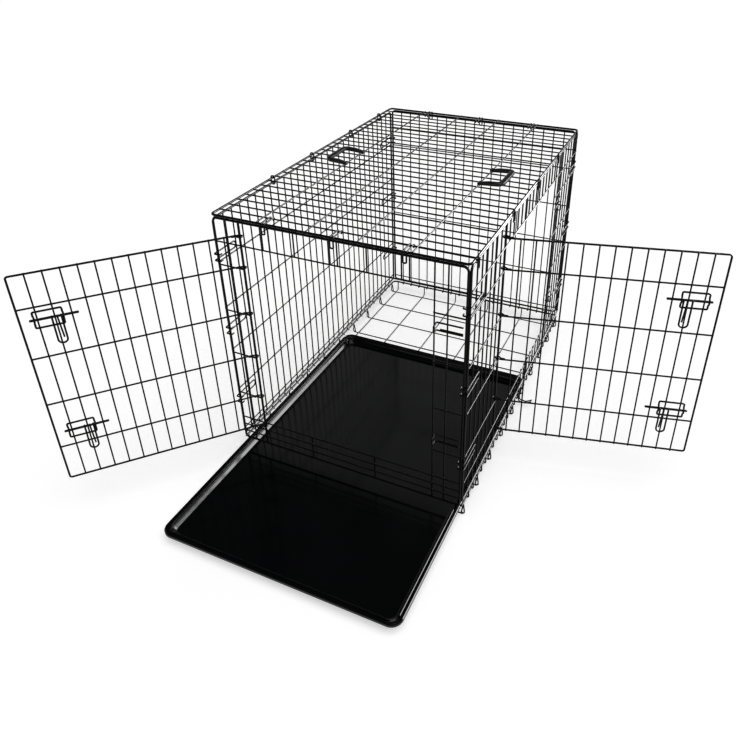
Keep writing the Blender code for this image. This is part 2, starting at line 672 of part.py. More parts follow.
def loft(rings):
    """A closed solid through rings with the same number of points, flat at both ends."""
    soup = bmesh.new()
    loops = [[soup.verts.new(place) for place in ring] for ring in rings]
    for inner, outer in zip(loops, loops[1:]):
        for i in range(len(inner)):
            j = (i + 1) % len(inner)
            soup.faces.new((inner[i], inner[j], outer[j], outer[i]))
    soup.faces.new(loops[0])
    soup.faces.new(loops[-1])
    bmesh.ops.recalc_face_normals(soup, faces=soup.faces)
    mesh = bpy.data.meshes.new("tray")
    soup.to_mesh(mesh)
    soup.free()
    return mesh


def tray():
    """A moulded tray with a grooved rim, pulled part of the way out of the crate's front."""
    mesh = loft([tray_outline(inset, height) for inset, height in tray_profile()])
    return piece("tray", mesh, TRAY_PLASTIC, (0, FRONT - TRAY_OUT + TRAY_LENGTH / 2, TRAY_BOTTOM))


def rod_mesh(radius, length, sides):
    """A cylinder along y, centred on its origin."""
    soup = bmesh.new()
    bmesh.ops.create_cone(soup, cap_ends=True, segments=sides, radius1=radius, radius2=radius,
                          depth=length, matrix=Matrix.Rotation(math.pi / 2, 4, "X"))
    mesh = bpy.data.meshes.new("rod")
    soup.to_mesh(mesh)
    soup.free()
    return mesh


def carry_handle_mesh():
    """A moulded U along +x whose feet turn on a long wire of the top panel."""
    half = (GRIP_GAPS[1] - GRIP_GAPS[0]) / 2 * CRATE_DEPTH / (TOP_CROSS_WIRES + 1)
    corners = [(0, -half, 0), (GRIP_REACH * 0.4, -half, GRIP_LIFT * 0.6), (GRIP_REACH, -half, GRIP_LIFT),
               (GRIP_REACH, half, GRIP_LIFT), (GRIP_REACH * 0.4, half, GRIP_LIFT * 0.6), (0, half, 0)]
    path = corners[:2] + fillet(corners[1:-1], GRIP_BEND, BEND_STEPS)[1:-1] + corners[-2:]
    thickness = [FOOT_TAPER] * 2 + [1.0] * (len(path) - 4) + [FOOT_TAPER] * 2
    grip = wires("grip", [path], GRIP_R, sides=8, thickness=thickness)
    feet = [rod_mesh(FOOT_R, FOOT_LENGTH, 8) for _ in range(2)]
    for foot, y in zip(feet, (-half, half)):
        foot.transform(Matrix.Translation((0, y, 0)))
    solid = fuse("carry_handle", [grip] + feet)
    bore = rod_mesh(WIRE_R + PLAY, 4 * half, 8)
    return fuse("carry_handle", [solid, bore], "DIFFERENCE")


def carry_handles(top):
    pitch = CRATE_DEPTH / (TOP_CROSS_WIRES + 1)
    y = sum(GRIP_GAPS) / 2 * pitch
    xs = spaced(0, CRATE_WIDTH, TOP_LONG_WIRES)
    for name, x, turn in (("left_carry_handle", xs[0], math.pi), ("right_carry_handle", xs[-1], 0.0)):
        handle = piece(name, carry_handle_mesh(), HANDLE_PLASTIC, (x, y, TOP_DROP + OVER), parent=top)
        handle.rotation_euler = (0, 0, turn)


def fold_hook():
    """A double wire that hangs from the right panel's bottom rail and catches the folded crate."""
    radius = FRAME_R + PLAY + CLIP_R
    eye = arc(0, 0, radius, math.radians(-110), math.radians(-250))
    reach, drop = FOLD_HOOK_REACH, FOLD_HOOK_DROP
    leg = eye + [(radius + reach * 0.1, -drop * 0.6), (reach * 0.4, -drop), (reach * 0.65, -drop),
                 (reach * 0.85, -drop * 0.6), (reach, -drop * 0.5)]
    one = [(-FOLD_HOOK_HALF, y, z) for z, y in leg]
    two = [(FOLD_HOOK_HALF, y, z) for z, y in reversed(leg)]
    mesh = wires("fold_hook", [one + two], CLIP_R)
    y = FRONT + SIDE_INSET + side_pitch() * FOLD_HOOK_GAP
    return piece("fold_hook", mesh, BLACK_WIRE, (RIGHT, y, SIDE_RAIL_HEIGHT), stand=math.pi / 2)


clear_scene()
CRATE = collection_named("folding_pet_crate")
HELPERS = collection_named("helpers")
BLACK_WIRE = material_named("black_powder_coat", (0.012, 0.012, 0.013), 0.38, 0.0)
TRAY_PLASTIC = material_named("tray_plastic", (0.008, 0.009, 0.011), 0.28, 0.0)
HANDLE_PLASTIC = material_named("handle_plastic", (0.015, 0.015, 0.016), 0.5, 0.0)
floor_basket()
tray()
left_side_panel()
right_side_panel()
front_panel()
back_panel()
carry_handles(top_panel())
doors_and_keepers()
fold_hook()
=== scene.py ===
"""Dresses the folding wire pet crate: round welded wires, curls, a moulded tray and its studio.

Metres, in the CAD model's frame: the origin is on the ground, +Z up, -Y out of the front door.
Each panel is drawn flat, with x along it, y up it and z out of the crate, and then stood up.
"""

import json
import math

import bmesh
import bpy
from mathutils import Matrix, Vector, noise


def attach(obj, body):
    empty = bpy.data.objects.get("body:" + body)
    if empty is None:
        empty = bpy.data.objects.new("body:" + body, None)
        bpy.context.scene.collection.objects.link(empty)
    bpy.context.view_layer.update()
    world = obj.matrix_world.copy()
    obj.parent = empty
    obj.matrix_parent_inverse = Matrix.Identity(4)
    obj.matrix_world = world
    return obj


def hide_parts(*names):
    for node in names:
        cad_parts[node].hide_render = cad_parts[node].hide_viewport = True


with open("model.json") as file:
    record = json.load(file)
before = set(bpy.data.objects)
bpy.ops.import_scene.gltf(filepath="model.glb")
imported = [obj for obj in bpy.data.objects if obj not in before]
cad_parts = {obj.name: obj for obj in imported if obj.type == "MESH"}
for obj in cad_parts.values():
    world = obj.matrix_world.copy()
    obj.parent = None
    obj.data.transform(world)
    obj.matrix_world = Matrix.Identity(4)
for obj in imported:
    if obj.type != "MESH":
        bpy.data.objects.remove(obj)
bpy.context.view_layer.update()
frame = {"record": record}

# The crate's own sizes, as in the CAD source
CRATE_WIDTH = 0.584
CRATE_DEPTH = 0.893
TOP_HEIGHT = 0.651
FRAME_R = 0.0025
DOOR_FRAME_R = 0.002
BAR_R = 0.0017
WIRE_R = 0.0015
CLIP_R = 0.0016
BOLT_R = 0.0025
FIT = 0.0003
PLAY = 0.0008
WELD = 0.0004
OVERRUN = 0.0008
RIM_HEIGHT = 0.036
SIDE_RAIL_HEIGHT = 0.048
FRONT_RAIL_HEIGHT = 0.0405
LOW_ROW = 0.061
SILL_ROWS = (0.064, 0.085, 0.108)
FIRST_ROW = 0.184
ROW_PITCH = 0.1167
ROWS = [FIRST_ROW + ROW_PITCH * k for k in range(4)]
HEADER_ROW = 0.591
END_INSET = 0.0065
SIDE_INSET = 0.0085
FRAME_BEND = 0.010
SIDE_UPRIGHTS = 28
BACK_UPRIGHTS = 18
TOP_CROSS_WIRES = 28
TOP_LONG_WIRES = 4
FRONT_LEFT_UPRIGHT = 0.036
FRONT_HINGE = 0.0687
FRONT_EDGE = 0.513
FRONT_RIGHT_UPRIGHT = 0.541
SILL_UPRIGHTS = (0.202, 0.369)
HEADER_UPRIGHTS = (0.125, 0.142, 0.202, 0.286, 0.303, 0.369, 0.444, 0.461)
SIDE_HINGE_UPRIGHT = 7
REAR_UPRIGHTS = 6
DOORWAY_WIDTH = FRONT_EDGE - FRONT_HINGE
DOOR_OVERLAP = 0.0017
DOOR_WIDTH = DOORWAY_WIDTH + DOOR_OVERLAP
DOOR_BOTTOM = 0.098
DOOR_TOP = 0.612
DOOR_UPRIGHTS = 13
FRONT_DOOR_OPEN = math.radians(131.9)
SIDE_DOOR_OPEN = math.radians(76.7)
BOLT_LEVELS = {"upper": 0.505, "lower": 0.221}
BOLT_START = 0.338
BOLT_LENGTH = 0.092
GUIDE_START = 0.3675
GUIDE_LENGTH = 0.054
GUIDE_HALF_HEIGHT = 0.0185
BULGE_HALF = 0.004
BULGE_RUN = 0.005
HANDLE_START = 0.3715
HANDLE_WIDTH = 0.018
HANDLE_DROP = 0.065
HANDLE_LEAN = 0.002
KEEPER_HALF_HEIGHT = 0.009
CLIP_LEVELS = (0.16, 0.36, 0.55)
CLIP_HALF_HEIGHT = 0.008
CLIP_REACH = 0.063
CURL_TURN = math.radians(112.5)
BACK_CURL_TURN = math.radians(180)
END_HOOKS = (0.1335, 0.2945, 0.4525)
RIGHT_HOOKS = (0.029, 0.26, 0.46, 0.65, 0.864)
HINGE_LOOP_GAPS = (7.5, 13.5, 20.5, 26.5)
HOOK_HALF_WIDTH = 0.004
HOOK_DROP = 0.021
HOOK_RISE = 0.005
FLOOR_CROSS_WIRES = 10
FLOOR_END = 0.015
ORIGIN_WIRE = 4
FLOOR_EDGE = 0.016
FLOOR_BEND = 0.008
FLOOR_FLAT = 0.0004
RIM_BEND = 0.012
RIM_START = 0.004
TRAY_WIDTH = 0.575
TRAY_LENGTH = 0.862
TRAY_HEIGHT = 0.0265
TRAY_OUT = 0.327
TRAY_CORNER = 0.026
TRAY_SHEET = 0.0018
TRAY_GROOVE_DEPTH = 0.003
TRAY_RIDGE = 0.005
GRIP_REACH = 0.052
GRIP_BEND = 0.012
GRIP_GAPS = (12.5, 15.5)
GRIP_LIFT = 0.0045
FOOT_R = 0.0045
FOOT_LENGTH = 0.012
FOLD_HOOK_GAP = 14.5
FOLD_HOOK_HALF = 0.004

# Where the photograph's shapes lie a little apart from the solids
TOP_DROP = 0.0060
HINGE_RAIL = 0.640
SIDE_FRAME_INSET = 0.0035
FRONT_FRAME_INSET = 0.004
BACK_FRAME_INSET = 0.0055
DOOR_BEND = 0.005
GUIDE_R = 0.0019
HANDLE_R = 0.0018
TRAY_LIP = 0.018
TRAY_LIP_WIDTH = 0.0033
TRAY_GROOVE = 0.0042
TRAY_FLOOR_RISE = 0.006
GRIP_HALF_WIDTH = 0.0066
GRIP_HALF_HEIGHT = 0.0047
FOLD_HOOK_REACH = 0.040
FOLD_HOOK_DROP = 0.034
COAT = 0.0001

LEFT = -CRATE_WIDTH / 2
RIGHT = CRATE_WIDTH / 2
FLOOR_PITCH = (CRATE_DEPTH - 2 * FLOOR_END) / (FLOOR_CROSS_WIRES - 1)
FRONT = -(FLOOR_END + ORIGIN_WIRE * FLOOR_PITCH)
BACK = FRONT + CRATE_DEPTH
RAIL_TOP = TOP_HEIGHT - TOP_DROP
LAP = 2 * WIRE_R - WELD
CURL_CLEARANCE = 3 * WIRE_R
CLIP_OUT = FRAME_R + CLIP_R - WELD
DOOR_OUT = LAP + WIRE_R + FIT + DOOR_FRAME_R
UPRIGHT_OUT = DOOR_OUT + BAR_R + WIRE_R - WELD
GUIDE_OUT = UPRIGHT_OUT + WIRE_R + FIT + CLIP_R
BOLT_OUT = UPRIGHT_OUT + WIRE_R + FIT + BOLT_R
BULGE_OUT = BOLT_OUT + BOLT_R + FIT + CLIP_R
KEEPER_OUT = WIRE_R + FIT + CLIP_R
KEEPER_BULGE_OUT = BOLT_OUT + BOLT_R + PLAY + CLIP_R
BESIDE_FRAME = FRAME_R + FIT + CLIP_R
CLEAR_OF_FRAME = FRAME_R + FIT
DOOR_ROWS = [row + WIRE_R + BAR_R + FIT for row in ROWS]
KEEPER_SETBACK = DOOR_OVERLAP + DOOR_FRAME_R + PLAY + CLIP_R
KEEPER_LENGTH = CRATE_WIDTH - FRONT_EDGE - KEEPER_SETBACK - END_INSET - CLEAR_OF_FRAME
FLOOR_CROSS_HEIGHT = WIRE_R - FLOOR_FLAT
FLOOR_LONG_HEIGHT = FLOOR_CROSS_HEIGHT + LAP
TRAY_BOTTOM = FLOOR_LONG_HEIGHT + WIRE_R + FIT
SIDE_PITCH = (CRATE_DEPTH - 2 * SIDE_INSET) / (SIDE_UPRIGHTS + 1)
SIDE_HINGE = SIDE_INSET + SIDE_PITCH * SIDE_HINGE_UPRIGHT
SIDE_EDGE = SIDE_HINGE + DOORWAY_WIDTH
TOP_PITCH = CRATE_DEPTH / (TOP_CROSS_WIRES + 1)

# Detail that the solids leave out
HOOK_BACK = 0.0035
HOOK_PAST = 0.0112
CLIP_BEND = 0.003
HAIRPIN_ROUNDING = 0.95
LOOP_ROUNDING = 0.8
SNAP_CURL_DEGREES = range(200, -1, -20)
SNAP_BEND = 0.002
EYE_TAIL = ((0.017, 2.0), (0.009, 2.2))
EYE_NECK = 0.007
EYE_START = math.radians(-65)
EYE_TURN = math.radians(-215)
GUIDE_BEND = 0.0026
BOLT_END = ((0.0, 0.55), (0.0003, 0.75), (0.0009, 0.92), (0.0018, 1.0))
SPARE_ACROSS = (0.42, 0.28)
SPARE_SUNK = 0.8
SPARE_NECK = 0.008
SPARE_BEND = 0.006
SPARE_LENGTH = 0.8
SPARE_THINNER = 0.9
KEEPER_ROUNDING = 1.5
KEEPER_SPARE_START = 0.008
HANDLE_WELD = 0.62
TEAR_HALF_WIDTH = 0.0034
TEAR_GAP = 0.0002
TEAR_BOWL_RISE = 0.0015
TEAR_SHOULDER = 0.010
TRAY_CORNER_TAPER = 0.4
TRAY_FLOOR_SPAN = 0.03
TRAY_COVE = 0.006
TRAY_STEEP_IN = 0.0015
TRAY_SLANT = (0.0066, 0.0102)
TRAY_SLANT_BEND = 0.003
TRAY_RIDGE_BEND = 0.0021
TRAY_GROOVE_SLOPE = 0.0026
TRAY_GROOVE_BEND = 0.0012
TRAY_CREASE_BEND = 0.0007
TRAY_LIP_SLOPE = 0.0011
TRAY_LIP_ROUND = (0.0018, 0.0023)
TRAY_LIP_BENDS = (0.0004, 0.0009)
TRAY_SHEET_BEND = 0.0006
TRAY_UNDER_BEND = 0.0015
GRIP_ROOT = 0.001
GRIP_SHOULDER = (0.4, 0.6)
GRIP_FOOT_WIDTH = 0.66
GRIP_FOOT_HEIGHT = 0.82
GRIP_SQUARENESS = 0.62
FOOT_STEP = 0.0016
FOOT_NECK = 0.92
FOLD_EYE_START = math.radians(-110)
FOLD_EYE_TURN = math.radians(-250)
FOLD_TIP = (0.62, 0.72)
FOLD_RISE = 0.002
FOLD_BEND = 0.008
NUGGET_R = 0.0021
NUGGET_DEPTH = 0.0017
NUGGET_VARIATION = 0.12
NUGGET_NOISE = 900.0

# How finely the lines and meshes are drawn
WIRE_SIDES = 12
ARC_STEP = math.radians(15)
BEND_STEPS = 7
HAIRPIN_STEPS = 9
HANDLE_STEPS = 10
FOLD_STEPS = 6
SMALL_STEPS = 5
TINY_STEPS = 4
TRAY_CORNER_STEPS = 12
COVE_STEPS = 12
GRIP_STEPS = 8
GRIP_SIDES = 20
FOOT_SIDES = 28
WIRE_SHARP_ANGLE = math.radians(40)
TRAY_SHARP_ANGLE = math.radians(50)
GRIP_SHARP_ANGLE = math.radians(35)

# The finishes and the studio
NOISE_RANGE = (0.3, 0.7)
FLOOR_GLOW = 0.55
FLOOR_REACH = 30.0
FLOOR_SUNK = 0.0002
SUN_TOWARDS = (0.35, -0.25, 1.0)
SUN_ANGLE = math.radians(60)
SUN_STRENGTH = 2.22
LIGHT_TARGET = (-0.25, -0.3, 0.05)
HIGH_LIGHT = (2.0, 1.5, 1.15)
LOW_LIGHT = (2.0, 1.5, 0.50)
CEILING_LIGHT = (-1.0, 1.95, 1.9)
CEILING_TARGET = (-1.0, 1.9501, 0.0)  # a hair off straight down, which would leave its roll open
SKY_LEVELS = ((0.0, 1.0), (0.10, 0.8), (0.24, 0.12), (0.42, 0.05), (1.0, 0.10))
SKY_STRENGTH = 1.6
DISPLAY_GAMMA = 0.8

# The camera, as fitted to the photograph's wires
IMAGE = 736
FOCAL = 702.24
PRINCIPAL = (406.3, 289.0)
CAMERA_AT = (0.6522, -1.4762, 1.2454)
AZIMUTH = math.radians(-24.47)
ELEVATION = math.radians(29.65)
ROLL = math.radians(0.51)


# ---- lines of wire ----

def fillet(points, radius, steps=BEND_STEPS, closed=False):
    """The line through the points with each corner turned into an arc of chords."""
    points = [Vector(p) for p in points]
    last = len(points) - 1
    out = []
    for i, corner in enumerate(points):
        if not closed and i in (0, last):
            out.append(corner)
            continue
        back = (points[i - 1] - corner).normalized()
        ahead = (points[(i + 1) % len(points)] - corner).normalized()
        half = back.angle(ahead) / 2
        centre = corner + (back + ahead).normalized() * radius / math.sin(half)
        start = corner + back * radius / math.tan(half) - centre
        end = corner + ahead * radius / math.tan(half) - centre
        for step in range(steps + 1):
            out.append(centre + start.normalized().slerp(end.normalized(), step / steps) * radius)
    return out


def arc(x, y, radius, start, turn):
    """Points in the plane, from the start angle through the turn."""
    count = max(1, math.ceil(abs(turn) / ARC_STEP - 1e-6))
    angles = [start + turn * i / count for i in range(count + 1)]
    return [(x + radius * math.cos(a), y + radius * math.sin(a)) for a in angles]


def spaced(start, end, count):
    pitch = (end - start) / (count + 1)
    return [start + pitch * (i + 1) for i in range(count)]


def strand(points, radius=WIRE_R, closed=False, swell=None):
    return {"points": [Vector(p) for p in points], "radius": radius, "closed": closed, "swell": swell}


def uprights(xs, y0, y1, z=0.0, radius=WIRE_R):
    return [strand([(x, y0, z), (x, y1, z)], radius) for x in xs]


def rows(ys, x0, x1, z=0.0, radius=WIRE_R):
    return [strand([(x0, y, z), (x1, y, z)], radius) for y in ys]


def box_corners(x0, y0, x1, y1, z=0.0):
    return [(x0, y0, z), (x1, y0, z), (x1, y1, z), (x0, y1, z)]


def frame_ring(x0, y0, x1, y1, z=0.0):
    return strand(fillet(box_corners(x0, y0, x1, y1, z), FRAME_BEND, closed=True), FRAME_R, closed=True)


def crossings(xs, ys, z):
    """Weld nuggets where uprights meet rows, at their depth in the panel."""
    return [(x, y, z) for x in xs for y in ys]


# ---- meshes ----

def strand_mesh(name, strands, place):
    """One mesh of round wires with cut ends."""
    unit = 0.001
    curve = bpy.data.curves.new(name, "CURVE")
    curve.dimensions = "3D"
    curve.resolution_u = 1
    curve.bevel_depth = unit
    curve.bevel_resolution = (WIRE_SIDES - 4) // 2
    curve.use_fill_caps = True
    for line in strands:
        spline = curve.splines.new("POLY")
        spline.points.add(len(line["points"]) - 1)
        spline.use_cyclic_u = line["closed"]
        swell = line["swell"] or [1.0] * len(line["points"])
        for knot, point, scale in zip(spline.points, line["points"], swell):
            knot.co = (*(place @ point), 1.0)
            knot.radius = (line["radius"] + COAT) / unit * scale
    guide = bpy.data.objects.new(name + "_guide", curve)
    bpy.context.scene.collection.objects.link(guide)
    graph = bpy.context.evaluated_depsgraph_get()
    mesh = bpy.data.meshes.new_from_object(guide.evaluated_get(graph))
    bpy.data.objects.remove(guide)
    bpy.data.curves.remove(curve)
    return mesh


def add_nuggets(soup, spots, place):
    """Small flattened beads of weld metal, a little different in size from one to the next."""
    for spot in spots:
        size = 1.0 + NUGGET_VARIATION * noise.noise(Vector(spot) * NUGGET_NOISE)
        shape = Matrix.Diagonal((NUGGET_R * size, NUGGET_R * size, NUGGET_DEPTH, 1.0))
        bmesh.ops.create_icosphere(soup, subdivisions=2, radius=1.0,
                                   matrix=place @ Matrix.Translation(spot) @ shape)


def wire_object(name, strands, place, nuggets=()):
    soup = bmesh.new()
    mesh = strand_mesh(name, strands, place)
    soup.from_mesh(mesh)
    bmesh.ops.remove_doubles(soup, verts=soup.verts, dist=1e-6)
    add_nuggets(soup, nuggets, place)
    bmesh.ops.recalc_face_normals(soup, faces=soup.faces)
    soup.to_mesh(mesh)
    soup.free()
    return finished(name, mesh)


def finished(name, mesh, sharp=WIRE_SHARP_ANGLE):
    """An object with smooth faces, but for the edges sharper than the angle."""
    mesh.shade_smooth()
    mesh.set_sharp_from_angle(angle=sharp)
    obj = bpy.data.objects.new(name, mesh)
    bpy.context.scene.collection.objects.link(obj)
    return obj


BODY_OF = {node: body for body, nodes in frame["record"]["behaviour"]["bodies"].items() for node in nodes}
SLOTS = ("black_wire", "tray_plastic", "handle_plastic")
LIT = {slot: bpy.data.collections.new("lit_" + slot) for slot in SLOTS}


def dress(obj, node, material, slot):
    """The piece stands for one CAD node, on that node's body, and is lit by its slot's own softboxes."""
    obj.data.materials.clear()
    obj.data.materials.append(material)
    LIT[slot].objects.link(obj)
    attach(obj, BODY_OF[node])
    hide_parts(node)
    return obj


def wire_piece(node, strands, place, nuggets=()):
    return dress(wire_object(node + "_wires", strands, place, nuggets), node, POWDER_COAT, "black_wire")


def standing(x, y, z, turn):
    """Where a drawing goes when it stands up and turns round the vertical."""
    upright = Matrix.Rotation(turn, 4, "Z") @ Matrix.Rotation(math.pi / 2, 4, "X")
    return Matrix.Translation((x, y, z)) @ upright


# ---- materials ----

def new_material(name):
    material = bpy.data.materials.new(name)
    material.use_nodes = True
    nodes, links = material.node_tree.nodes, material.node_tree.links
    return material, nodes, links, nodes["Principled BSDF"]


def noise_node(nodes, links, coords, scale, detail=4.0):
    texture = nodes.new("ShaderNodeTexNoise")
    texture.inputs["Scale"].default_value = scale
    texture.inputs["Detail"].default_value = detail
    links.new(coords.outputs["Object"], texture.inputs["Vector"])
    return texture


def ramp(nodes, links, source, low, high):
    """A colour ramp between two colours, driven by a texture's factor."""
    ramp_node = nodes.new("ShaderNodeValToRGB")
    for stop, position, colour in zip(ramp_node.color_ramp.elements, NOISE_RANGE, (low, high)):
        stop.position = position
        stop.color = (*colour, 1.0)
    links.new(source, ramp_node.inputs["Fac"])
    return ramp_node


def spread(nodes, links, source, low, high):
    """A texture's factor mapped to a range of plain numbers."""
    mapped = nodes.new("ShaderNodeMapRange")
    mapped.inputs["From Min"].default_value, mapped.inputs["From Max"].default_value = NOISE_RANGE
    mapped.inputs["To Min"].default_value = low
    mapped.inputs["To Max"].default_value = high
    links.new(source, mapped.inputs["Value"])
    return mapped


def bump(nodes, links, shader, height, strength, distance):
    node = nodes.new("ShaderNodeBump")
    node.inputs["Strength"].default_value = strength
    node.inputs["Distance"].default_value = distance
    links.new(height, node.inputs["Height"])
    links.new(node.outputs["Normal"], shader.inputs["Normal"])


def black_finish(name, patches, grain, dark, light, roughness, relief, specular):
    """A black surface with patchy colour and sheen over a fine grain, all from noise."""
    material, nodes, links, shader = new_material(name)
    coords = nodes.new("ShaderNodeTexCoord")
    cloud = noise_node(nodes, links, coords, patches)
    fine = noise_node(nodes, links, coords, *grain)
    tint = ramp(nodes, links, cloud.outputs["Fac"], dark, light)
    links.new(tint.outputs["Color"], shader.inputs["Base Color"])
    sheen = spread(nodes, links, cloud.outputs["Fac"], *roughness)
    links.new(sheen.outputs["Result"], shader.inputs["Roughness"])
    shader.inputs["Specular IOR Level"].default_value = specular
    bump(nodes, links, shader, fine.outputs["Fac"], *relief)
    return material


def powder_coat():
    """Satin black powder coat on wire: fine orange peel, patchy sheen and a little settled dust."""
    return black_finish("powder_coat", patches=24.0, grain=(1400.0, 2.0),
                        dark=(0.0010, 0.0010, 0.0012), light=(0.0026, 0.0026, 0.0030), roughness=(0.20, 0.32),
                        relief=(0.25, 0.0002), specular=0.16)


def tray_plastic():
    """Glossy black moulded plastic with a faint grain, slightly duller where it has been rubbed."""
    return black_finish("tray_plastic_finish", patches=6.0, grain=(900.0, 3.0),
                        dark=(0.0008, 0.0011, 0.0015), light=(0.0016, 0.0020, 0.0027), roughness=(0.09, 0.15),
                        relief=(0.02, 0.0001), specular=0.30)


def handle_plastic():
    """Smooth black plastic, a little greyer and duller than the tray's."""
    return black_finish("handle_plastic_finish", patches=40.0, grain=(2200.0, 2.0),
                        dark=(0.006, 0.006, 0.006), light=(0.012, 0.012, 0.012), roughness=(0.24, 0.34),
                        relief=(0.15, 0.0002), specular=0.5)


def floor_paint():
    """Matt white with a glow of its own, so that the crate throws hardly any shadow."""
    material, nodes, links, shader = new_material("pale_floor")
    coords = nodes.new("ShaderNodeTexCoord")
    cloud = noise_node(nodes, links, coords, 1.5)
    tint = ramp(nodes, links, cloud.outputs["Fac"], (0.56, 0.56, 0.56), (0.59, 0.59, 0.59))
    links.new(tint.outputs["Color"], shader.inputs["Base Color"])
    shader.inputs["Roughness"].default_value = 0.85
    shader.inputs["Specular IOR Level"].default_value = 0.1
    shader.inputs["Emission Color"].default_value = (1.0, 1.0, 1.0, 1.0)
    shader.inputs["Emission Strength"].default_value = FLOOR_GLOW
    return material


# ---- panels ----

def corner_clips(end, towards):
    """Hairpins welded along a side panel, whose two legs each hook round the end panel's post."""
    lines = []
    for level in CLIP_LEVELS:
        beside, closed_end = end - towards * BESIDE_FRAME, end + towards * (SIDE_INSET + CLIP_REACH)
        leg = [(end + towards * HOOK_BACK, -HOOK_PAST), (beside, -HOOK_PAST), (beside, CLIP_OUT),
               (closed_end, CLIP_OUT)]
        upper = [(x, level + CLIP_HALF_HEIGHT, z) for x, z in leg]
        lower = [(x, level - CLIP_HALF_HEIGHT, z) for x, z in reversed(leg)]
        path = fillet(upper, CLIP_BEND)[:-1]
        path += fillet(upper[2:] + lower[:2], CLIP_HALF_HEIGHT * HAIRPIN_ROUNDING, HAIRPIN_STEPS)[1:-1]
        path += fillet(lower, CLIP_BEND)[1:]
        lines.append(strand(path, CLIP_R))
    return lines


def rim_curls(xs, rail, turn):
    """Hooks that run down from a panel's bottom rail and curl round the floor's rim."""
    radius = FRAME_R + PLAY + WIRE_R
    lines = []
    for x in xs:
        hook = [(FRAME_R + WIRE_R - WELD, rail + OVERRUN), (radius, RIM_HEIGHT + WIRE_R)]
        hook += arc(0, RIM_HEIGHT, radius, 0, -turn)
        lines.append(strand([(x, y, z) for z, y in hook]))
    return lines


def left_side_panel():
    xs = spaced(SIDE_INSET, CRATE_DEPTH - SIDE_INSET, SIDE_UPRIGHTS)
    near, far = SIDE_FRAME_INSET, CRATE_DEPTH - SIDE_FRAME_INSET
    levels = [LOW_ROW] + ROWS
    lines = [frame_ring(near, SIDE_RAIL_HEIGHT, far, HINGE_RAIL)]
    lines += uprights(xs, SIDE_RAIL_HEIGHT, HINGE_RAIL) + rows(levels, near, far, LAP)
    lines += corner_clips(0, 1) + corner_clips(CRATE_DEPTH, -1)
    lines += rim_curls(xs, SIDE_RAIL_HEIGHT, CURL_TURN)
    nuggets = crossings([near] + xs + [far], levels, LAP / 2)
    wire_piece("left_side_panel", lines, standing(LEFT, BACK, 0, -math.pi / 2), nuggets)


def right_side_panel():
    """The side panel with the doorway: its frame, a grille on each side, a header and a sill."""
    low, high = SIDE_RAIL_HEIGHT, RAIL_TOP
    place = standing(RIGHT, FRONT, 0, math.pi / 2)
    xs = spaced(SIDE_INSET, CRATE_DEPTH - SIDE_INSET, SIDE_UPRIGHTS)
    near, far = SIDE_FRAME_INSET, CRATE_DEPTH - SIDE_FRAME_INSET
    levels = [LOW_ROW, SILL_ROWS[-1]] + ROWS + [HEADER_ROW]
    lines = [frame_ring(near, low, far, high)]
    lines += corner_clips(0, 1) + corner_clips(CRATE_DEPTH, -1)
    lines += rim_curls(xs, low, CURL_TURN)
    wire_piece("right_side_frame", lines, place)
    front_xs = spaced(SIDE_INSET, SIDE_HINGE, SIDE_HINGE_UPRIGHT - 1)
    lines = uprights([SIDE_HINGE], low, high, radius=FRAME_R) + uprights(front_xs, low, high)
    lines += rows(levels, near, SIDE_HINGE, LAP)
    wire_piece("right_front_grille", lines, place,
               crossings([near] + front_xs + [SIDE_HINGE], levels, LAP / 2))
    rear_xs = [SIDE_EDGE] + spaced(SIDE_EDGE, CRATE_DEPTH - SIDE_INSET, REAR_UPRIGHTS)
    lines = uprights(rear_xs, low, high) + rows(levels, SIDE_EDGE - OVERRUN, far, LAP)
    wire_piece("right_rear_grille", lines, place, crossings(rear_xs + [far], levels, LAP / 2))
    between = [x for x in xs if SIDE_HINGE + SIDE_PITCH / 2 < x < SIDE_EDGE - SIDE_PITCH / 4]
    lines = uprights(between, HEADER_ROW - OVERRUN, high)
    lines += rows([HEADER_ROW], SIDE_HINGE, SIDE_EDGE, LAP)
    wire_piece("right_header", lines, place, crossings(between, [HEADER_ROW], LAP / 2))
    sill = [LOW_ROW, SILL_ROWS[-1]]
    lines = uprights(between, low, sill[-1] + OVERRUN) + rows(sill, SIDE_HINGE, SIDE_EDGE, LAP)
    wire_piece("right_sill", lines, place, crossings(between, sill, LAP / 2))


